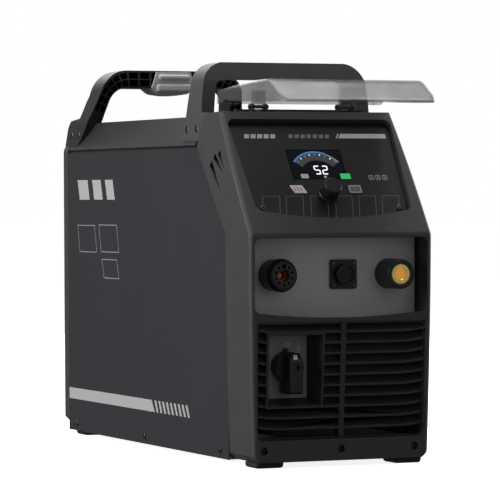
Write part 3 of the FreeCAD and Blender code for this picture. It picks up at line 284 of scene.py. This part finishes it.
def softened(nodeName, width, segments=2, angle=32):
    # A copy of a CAD node with its doubles merged, its flats joined and its hard edges rounded.
    node = nodes[nodeName]
    mesh = node.data.copy()
    work = bmesh.new()
    work.from_mesh(mesh)
    bmesh.ops.remove_doubles(work, verts=work.verts, dist=2e-6)
    bmesh.ops.dissolve_limit(
        work, angle_limit=math.radians(0.6), verts=work.verts, edges=work.edges, delimit={"NORMAL"}
    )
    for face in work.faces:
        face.smooth = True
    work.to_mesh(mesh)
    work.free()
    words = nodeName.split("_")
    piece = bpy.data.objects.new(words[0] + "".join(w.capitalize() for w in words[1:]), mesh)
    bpy.context.scene.collection.objects.link(piece)
    bevel = piece.modifiers.new("edges", "BEVEL")
    bevel.width = width * mm
    bevel.segments = segments
    bevel.limit_method = "ANGLE"
    bevel.angle_limit = math.radians(angle)
    bevel.use_clamp_overlap = True
    shading = piece.modifiers.new("shading", "WEIGHTED_NORMAL")
    shading.mode = "FACE_AREA"
    shading.keep_sharp = True
    return place(piece, bodyOf[nodeName], slotOf[nodeName], (nodeName,))


print("softened pieces")
edgeWidths = {
    "front_bezel": 0.7, "front_grille": 0.8, "front_handle": 3.2, "rear_handle": 2.0, "rear_frame": 1.2,
    "roof_cover": 0.5, "left_side_panel": 0.45, "right_side_panel": 0.45, "switch_plate": 0.4,
    "connector_plate": 0.4, "switch_handle": 1.0, "torch_socket_body": 0.5, "torch_socket_insert": 0.3,
    "torch_socket_contact": 0.3, "data_connector_shell": 0.35, "data_connector_insert": 0.3,
    "earth_socket_body": 0.5, "earth_socket_contact": 0.35, "encoder_knob": 0.4, "control_fascia": 0.15,
    "left_key": 0.4, "right_key": 0.4, "rear_handle_grip": 1.2, "cover_hinge_ears": 0.5,
    "front_feet": 1.0, "rear_feet": 1.0, "rear_panel": 0.3, "mains_cable_gland": 0.5,
    "air_inlet_fitting": 0.4, "fan_rotor": 0.5, "fan_guard": 0.2,
}
for name, width in edgeWidths.items():
    softened(name, width, 4 if width > 1.5 else 2)


def slab(name, outline, low, high, matrix, material, body="case", slotName="fascia_film"):
    # A flat shape cut from thin film: the outline at two heights, closed round its edge.
    outline = np.asarray(outline, float)
    area = np.sum(outline[:, 0] * np.roll(outline[:, 1], -1) - np.roll(outline[:, 0], -1) * outline[:, 1])
    if area < 0:
        outline = outline[::-1]
    count = len(outline)
    bottom = np.column_stack([outline, np.full(count, low)])
    top = np.column_stack([outline, np.full(count, high)])
    verts = np.vstack([bottom, top])
    faces = [list(range(count))[::-1], list(range(count, 2 * count))]
    faces += [[i, (i + 1) % count, count + (i + 1) % count, count + i] for i in range(count)]
    return finishFlat(name, verts, faces, matrix, material, body, slotName)


def finishFlat(name, verts, faces, matrix, material, body, slotName):
    verts = np.column_stack([verts, np.ones(len(verts))]) @ np.array(matrix).T
    return place(meshPiece(name, verts[:, :3], faces, material), body, slotName)


def band(name, path, width, low, high, matrix, material, closed=True, body="case", slotName="fascia_film"):
    # A line of even width: the path moved half the width to each side along its mitred normal.
    path = np.asarray(path, float)
    ahead = np.roll(path, -1, 0) - path
    behind = path - np.roll(path, 1, 0)
    if not closed:
        ahead[-1] = behind[-1]
        behind[0] = ahead[0]
    ahead /= np.linalg.norm(ahead, axis=1)[:, None]
    behind /= np.linalg.norm(behind, axis=1)[:, None]
    tangent = ahead + behind
    tangent /= np.maximum(np.linalg.norm(tangent, axis=1), 1e-6)[:, None]
    normal = np.column_stack([-tangent[:, 1], tangent[:, 0]])
    mitre = 1 / np.maximum(np.sum(tangent * ahead, axis=1), 0.4)
    reach = normal * (mitre * width / 2)[:, None]
    left, right = path + reach, path - reach
    count = len(path)
    verts = np.vstack([
        np.column_stack([side, np.full(count, level)])
        for side, level in ((left, high), (right, high), (right, low), (left, low))
    ])
    faces = []
    last = count if closed else count - 1
    for i in range(last):
        j = (i + 1) % count
        for ring in range(4):
            a, b = ring * count, (ring + 1) % 4 * count
            faces.append([a + i, b + i, b + j, a + j])
    if not closed:
        ends = [0, count, 2 * count, 3 * count]
        faces.append(ends[::-1])
        faces.append([e + count - 1 for e in ends])
    return finishFlat(name, verts, faces, matrix, material, body, slotName)


def arcPoints(cx, cy, radius, start, stop, count=24):
    angles = np.radians(np.linspace(start, stop, count))
    return np.column_stack([cx + radius * np.cos(angles), cy + radius * np.sin(angles)])


def ringSector(cx, cy, inner, outer, start, stop, count=24):
    far = arcPoints(cx, cy, outer, start, stop, count)
    return np.vstack([far, arcPoints(cx, cy, inner, stop, start, count)])


def leaning(x0, x1, y0, y1, lean):
    # a parallelogram whose top is moved by lean
    return [(x0, y0), (x1, y0), (x1 + lean, y1), (x0 + lean, y1)]


def roundedBox(x0, x1, y0, y1, radius):
    corners = ((x1 - radius, y0 + radius, -90), (x1 - radius, y1 - radius, 0), (x0 + radius, y1 - radius, 90),
               (x0 + radius, y0 + radius, 180))
    return np.vstack([arcPoints(cx, cy, radius, start, start + 90, 6) for cx, cy, start in corners])


print("printed film")
filmTop, inkTop = -7.0, -6.95


def onFilm(name, outline, ink):
    return slab(name, outline, filmTop, inkTop, slopeMatrix(), inks[ink])


headStrip = {"low": 145, "high": 151.7, "start": 36, "stop": 100, "lean": 4}
headOutline = [
    (headStrip["start"], headStrip["low"]), (headStrip["stop"], headStrip["low"]),
    (headStrip["stop"], headStrip["high"]), (headStrip["start"] + headStrip["lean"], headStrip["high"]),
]
onFilm("headStrip", headOutline, "white")
onFilm("headStripDash", leaning(32.4, 34.2, 145, 151.7, 4), "white")
for index, x in enumerate((-88, -79.5, -71, -62.5, -54)):
    onFilm("leftMark" + str(index), leaning(x, x + 6.4, 144.5, 150.5, 1.6), "white")
for index, x in enumerate(range(-30, 26, 8)):
    onFilm("middleMark" + str(index), leaning(x, x + 5.4, 145, 150.5, 1.6), "grey")
for index, x in enumerate((61, 70, 79)):
    frameLine = roundedBox(x, x + 5.6, 84, 90, 1.3)
    band("smallIcon" + str(index), frameLine, 0.8, filmTop, inkTop, slopeMatrix(), inks["silver"])
    onFilm("smallIconDot" + str(index), arcPoints(x + 2.8, 87, 1.1, 0, 345, 12), "silver")
outlined = {
    "starts": (-92, -62, -30, 2, 33, 64), "low": (31, 28, 26.5, 26.5, 28, 31), "width": 22, "high": 60, "lean": 7,
}
for index, (x, low) in enumerate(zip(outlined["starts"], outlined["low"])):
    shape = leaning(x, x + outlined["width"], low, outlined["high"], outlined["lean"])
    band("outlinedShape" + str(index), shape, 0.55, filmTop, inkTop, slopeMatrix(), inks["faint"])

print("display")
glassTop, lightTop = -7.1, -7.02
gauge = {
    "x": -2.4, "s": 87.7, "inner": 24.5, "outer": 34.8, "rim": 37.8,  # centre and radii, in millimetres
    "first": 143, "turn": 66, "last": 37,  # degrees: where the scale starts, is lit up to, and ends
}


def onDisplay(name, outline, ink, high=-6.99):
    return slab(name, outline, glassTop, high, slopeMatrix(), inks[ink], slotName="display_glass")


def gaugeSector(name, inner, outer, start, stop, ink, count=30):
    return onDisplay(name, ringSector(gauge["x"], gauge["s"], inner, outer, start, stop, count), ink)


onDisplay("displayGround", roundedBox(-37.5, 31.5, 85.2, 126.8, 1.5), "litDark", lightTop)
inner, outer, rim, turn = gauge["inner"], gauge["outer"], gauge["rim"], gauge["turn"]
gaugeSector("gaugeField", inner, outer, gauge["first"], gauge["last"], "litSteel")
gaugeSector("gaugeDone", outer + 0.4, rim, gauge["first"], turn, "litBlue")
gaugeSector("gaugeNeedle", inner + 2, outer + 0.2, turn + 1, turn - 0.4, "litBlue", 3)
gaugeSector("gaugeLeft", outer + 0.4, rim - 1, turn - 1.4, gauge["last"], "litGrey")
for index, angle in enumerate(np.linspace(gauge["first"] - 6, gauge["last"] + 6, 9)):
    tick = ringSector(gauge["x"], gauge["s"], outer - 3, outer - 0.6, angle + 0.9, angle - 0.9, 3)
    tickInk = inks["litWhite" if index % 2 else "litGrey"]
    slab("gaugeTick" + str(index), tick, -7, -6.97, slopeMatrix(), tickInk, slotName="display_glass")
digitBars = {
    "a": (0.9, 6, 11.4, 13), "b": (5.8, 7.3, 6.8, 12.6), "c": (5.8, 7.3, 0.4, 6.2), "d": (0.9, 6, 0, 1.6),
    "e": (-0.6, 0.9, 0.4, 6.2), "f": (-0.6, 0.9, 6.8, 12.6), "g": (0.9, 6, 5.7, 7.3),
}
for digitX, bars in ((-7.8, "acdfg"), (2.4, "abdeg")):
    for bar in bars:
        x0, x1, y0, y1 = digitBars[bar]
        shape = leaning(digitX + x0, digitX + x1, 91.4 + y0, 91.4 + y1, 0.1)
        slab("digit" + str(int(digitX > 0)) + bar, shape, glassTop, -6.99, slopeMatrix(), inks["litWhite"],
             slotName="display_glass")
onDisplay("unitMark", leaning(1.6, 5, 86.2, 89.4, 0.8), "litGrey")
onDisplay("leftTag", roundedBox(-28, -18, 85.8, 92.2, 1), "litGrey")
onDisplay("rightTag", roundedBox(23.8, 37, 84.8, 92.8, 0.8), "litGreen", -6.95)

print("key symbols")
for index, x in enumerate((-40.5, -36.6, -32.7)):
    shape = leaning(x - 0.6, x + 0.5, 66.8, 71.6, -1.4)
    slab("leftKeyMark" + str(index), shape, -5.8, -5.74, slopeMatrix(), inks["red"], bodyOf["left_key"], "key_white")
keyBorder = roundedBox(30.6, 44.8, 64.8, 74, 1.4)
band("rightKeyBorder", keyBorder, 0.8, -6.1, -6.04, slopeMatrix(), inks["white"], True, bodyOf["right_key"], "key_grey")
slab("rightKeyMark", arcPoints(37.7, 69.4, 2.6, 0, 345, 24), -6.1, -6.04, slopeMatrix(), inks["faint"],
     bodyOf["right_key"], "key_grey")

print("side graphics")
inkDepth, sideSlot = 0.12, "blue_grey_paint"
sideStrip = [(551, 42.3), (551, 57), (250, 57), (238, 42.3)]
sideDashes = [(232 - 13 * k, 42.3, 57) for k in range(9)]
sideShapes = [
    (470, 508, 309, 335, True), (421, 453, 309, 335, True), (377, 405, 309, 335, True),
    (444, 508, 240, 275, False), (363, 428, 241, 276, False), (363, 417, 207, 231, False),
]
for side, turn in ((-1, facingLeft), (1, facingRight)):
    label = "left" if side < 0 else "right"
    across = side  # the drawing's own across axis runs forwards on the left, backwards on the right
    plane = caseMatrix(side * 115, 0, 0, turn)
    shape = [(across * y, z) for y, z in sideStrip]
    slab(label + "Strip", shape, 0, inkDepth, plane, inks["silver"], slotName=sideSlot)
    for index, (y, low, high) in enumerate(sideDashes):
        shape = [(across * (y + shift), z) for shift, z in ((-6, low), (0, low), (8, high), (2, high))]
        slab(label + "Dash" + str(index), shape, 0, inkDepth, plane, inks["silver"], slotName=sideSlot)
    for index, (y0, y1, low, high, solid) in enumerate(sideShapes):
        shape = [(across * y0, low), (across * y1, low), (across * (y1 + 8), high), (across * (y0 + 8), high)]
        if solid:
            slab(label + "Block" + str(index), shape, 0, inkDepth, plane, inks["silver"], slotName=sideSlot)
        else:
            band(label + "Outline" + str(index), shape, 1.3, 0, inkDepth, plane, inks["grey"], slotName=sideSlot)

print("switch marks")
switchAt = {"x": -58.8, "z": 111.6, "face": -38}
switchFace = frontMatrix(0, 0, switchAt["face"])
offRing = arcPoints(-54.8, 137.4, 2.2, 0, 330, 12)
band("offMark", offRing, 0.8, 0, 0.06, switchFace, inks["white"], slotName="plate_grey")
slab("onMark", leaning(-41.2, -40.2, 130.5, 135.7, 0), 0, 0.06, switchFace, inks["white"], slotName="plate_grey")
gripTop = frontMatrix(switchAt["x"], switchAt["z"], switchAt["face"]) @ Matrix.Translation((0, 12.4, 31.15))
gripSlope = gripTop @ Matrix.Rotation(math.radians(-49.2), 4, "X")
gripShape = leaning(-3.4, 1.6, -4, 4, 1.6)
slab("gripMark", gripShape, 0, 0.1, gripSlope, inks["white"], bodyOf["switch_handle"], "black_insulator")

print("clear cover")
coverMatrix = caseMatrix(0, 41, 421, Matrix.Rotation(math.radians(180), 4, "Z"))
cover = {
    # distance from the hinge and the top's height there, at the same steps
    "reach": (
        -16.5, -16.4, -15.9, -14.2, -10.5, 0, 30, 65, 100, 115, 124, 128.5, 134, 142, 152, 161, 167, 169.5, 170,
    ),
    "top": (
        3.5, 12, 16, 18.8, 20.4, 21.5, 24.4, 26.9, 28.8, 29, 28.9, 27.8, 25, 20.3, 14.6, 9.4, 6, 4.2, 1.4,
    ),
    # the lower edge's height, and half the width, against the distance
    "foot": ((-16.5, 3.4), (3, 3.4), (8, 7.6), (14, 7.6), (50, 4.6), (110, 2.6), (170, 1.2)),
    "half": ((-16.5, 104), (-12, 106.6), (0, 106.4), (155, 101), (163, 98.6), (168, 95.6), (169.5, 93.4), (170, 91)),
    "corner": 6, "wall": 1.6,
}


clear = finishes["clear_plastic"]


def coverShell():
    # Across the cover the section is a wall, a quarter circle, the top, a quarter circle and a wall:
    # on the circles x = w - r + r cos a, z = h - r + r sin a, with w, h and r changing along the reach.
    spot = np.arange(len(cover["reach"]))
    fine = np.linspace(0, len(spot) - 1, 90)
    reach, top = np.interp(fine, spot, cover["reach"]), np.interp(fine, spot, cover["top"])
    foot = np.interp(reach, *np.array(cover["foot"]).T)
    half = np.interp(reach, *np.array(cover["half"]).T)
    top = np.maximum(top, foot + 0.05)
    corner = np.minimum(cover["corner"], (top - foot) * 0.8)
    w, h, r, b = (value[:, None] for value in (half, top, corner, foot))
    rise, turn = np.linspace(0, 1, 6)[None, :-1], np.radians(np.linspace(180, 90, 10))[None, :]
    level = np.linspace(0, 1, 40)[None, 1:-1]
    x = np.hstack([-w + 0 * rise, -w + r + r * np.cos(turn), -w + r + level * (2 * w - 2 * r)])
    z = np.hstack([b + rise * (h - r - b), h - r + r * np.sin(turn), h + 0 * level])
    backTurn, fall = turn[:, ::-1], rise[:, ::-1]
    x = np.hstack([x, w - r - r * np.cos(backTurn), w + 0 * fall])
    z = np.hstack([z, h - r + r * np.sin(backTurn), b + fall * (h - r - b)])
    y = np.repeat(reach[:, None], x.shape[1], axis=1)
    verts = np.column_stack([x.ravel(), y.ravel(), z.ravel()])
    rows, columns = x.shape
    corners = (np.arange(rows - 1)[:, None] * columns + np.arange(columns - 1)[None, :]).ravel()
    faces = np.column_stack([corners, corners + 1, corners + columns + 1, corners + columns]).tolist()
    piece = finishFlat("clearCover", verts, faces, coverMatrix, clear, bodyOf["clear_cover"], "clear_plastic")
    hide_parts("clear_cover")
    for face in piece.data.polygons:
        face.use_smooth = True
    thick = piece.modifiers.new("wall", "SOLIDIFY")
    thick.thickness, thick.offset = cover["wall"] * mm, -1
    return piece


coverShell()
lugRound = np.radians(np.linspace(-10, -170, 14))
lug = [(6, 19), (6, 0)] + [(0.5 + 5.5 * math.cos(a), 0.6 + 5.4 * math.sin(a)) for a in lugRound]
lug += [(-5, 0), (-5, 18)]
sideways = Matrix(((0, 0, 1, 0), (1, 0, 0, 0), (0, 1, 0, 0), (0, 0, 0, 1)))
for label, x in (("coverLugLeft", -57.5), ("coverLugRight", 57.5)):
    slab(label, lug, x - 7, x + 7, coverMatrix @ sideways, clear, bodyOf["clear_cover"], "clear_plastic")

print("camera and light")
view = {"yaw": 0.4059, "pitch": 0.0177, "roll": -0.0036, "eye": (-1578.8, -3471.9, 316.1), "lens": 228.7}


def makeCamera():
    yaw, pitch, roll = view["yaw"], view["pitch"], view["roll"]
    forward = Vector((math.sin(yaw) * math.cos(pitch), math.cos(yaw) * math.cos(pitch), -math.sin(pitch)))
    level = Vector((math.cos(yaw), -math.sin(yaw), 0))
    upright = level.cross(forward)
    across = level * math.cos(roll) + upright * math.sin(roll)
    up = upright * math.cos(roll) - level * math.sin(roll)
    data = bpy.data.cameras.new("camera")
    data.lens, data.sensor_width = view["lens"], 36
    data.clip_start, data.clip_end = 0.05, 60
    camera = bpy.data.objects.new("camera", data)
    turn = Matrix((across, up, -forward)).transposed().to_4x4()
    camera.matrix_world = Matrix.Translation(caseMatrix(*view["eye"]).translation) @ turn
    bpy.context.scene.collection.objects.link(camera)
    bpy.context.scene.camera = camera


def areaLight(name, location, target, size, power, colour=(1, 1, 1)):
    data = bpy.data.lights.new(name, "AREA")
    data.shape, data.size, data.size_y = "RECTANGLE", size[0], size[1]
    data.energy, data.color = power, colour
    lamp = bpy.data.objects.new(name, data)
    lamp.location = location
    lamp.rotation_euler = (Vector(target) - Vector(location)).to_track_quat("-Z", "Y").to_euler()
    bpy.context.scene.collection.objects.link(lamp)


def makeStudio():
    # the floor is only looked at: it neither lights the case nor shows in it
    paleFloor = printedInk("paleFloor", (0.95, 0.95, 0.95), 0.8)
    shader = paleFloor.node_tree.nodes["Principled BSDF"]
    shader.inputs["Emission Color"].default_value = (1, 1, 1, 1)
    shader.inputs["Emission Strength"].default_value = 0.86
    corners = [(-30, -30, 0), (30, -30, 0), (30, 30, 0), (-30, 30, 0)]
    floor = meshPiece("floor", corners, [[0, 1, 2, 3]], paleFloor)
    floor.visible_diffuse = floor.visible_glossy = False
    world = bpy.data.worlds.new("studio")
    world.use_nodes = True
    tree = world.node_tree
    soft = tree.nodes["Background"]
    soft.inputs["Color"].default_value = (1, 1, 1, 1)
    soft.inputs["Strength"].default_value = 0.15
    bright = tree.nodes.new("ShaderNodeBackground")
    bright.inputs["Strength"].default_value = 1
    bright.inputs["Color"].default_value = (1, 1, 1, 1)
    ray = tree.nodes.new("ShaderNodeLightPath")
    chosen = tree.nodes.new("ShaderNodeMixShader")
    tree.links.new(ray.outputs["Is Camera Ray"], chosen.inputs["Fac"])
    tree.links.new(soft.outputs["Background"], chosen.inputs[1])
    tree.links.new(bright.outputs["Background"], chosen.inputs[2])
    tree.links.new(chosen.outputs["Shader"], tree.nodes["World Output"].inputs["Surface"])
    bpy.context.scene.world = world
    bpy.context.scene.view_settings.view_transform = "Standard"
    areaLight("leftSoftbox", (-2.5, 0.05, 0.9), (0, 0, 0.25), (1.5, 1.5), 50)
    areaLight("topSoftbox", (0.1, 0.25, 2.5), (0, 0, 0.3), (2, 2), 66)
    areaLight("rightFill", (2.6, 0.3, 0.9), (0, 0, 0.25), (1.6, 1.6), 30)
    areaLight("backFill", (0.6, 3, 1.1), (0, 0, 0.25), (1.6, 1.6), 38)
    areaLight("frontFill", (0.4, -3.2, 0.9), (0, 0, 0.25), (1.6, 1.6), 3.5)


makeCamera()
makeStudio()

print("finished")
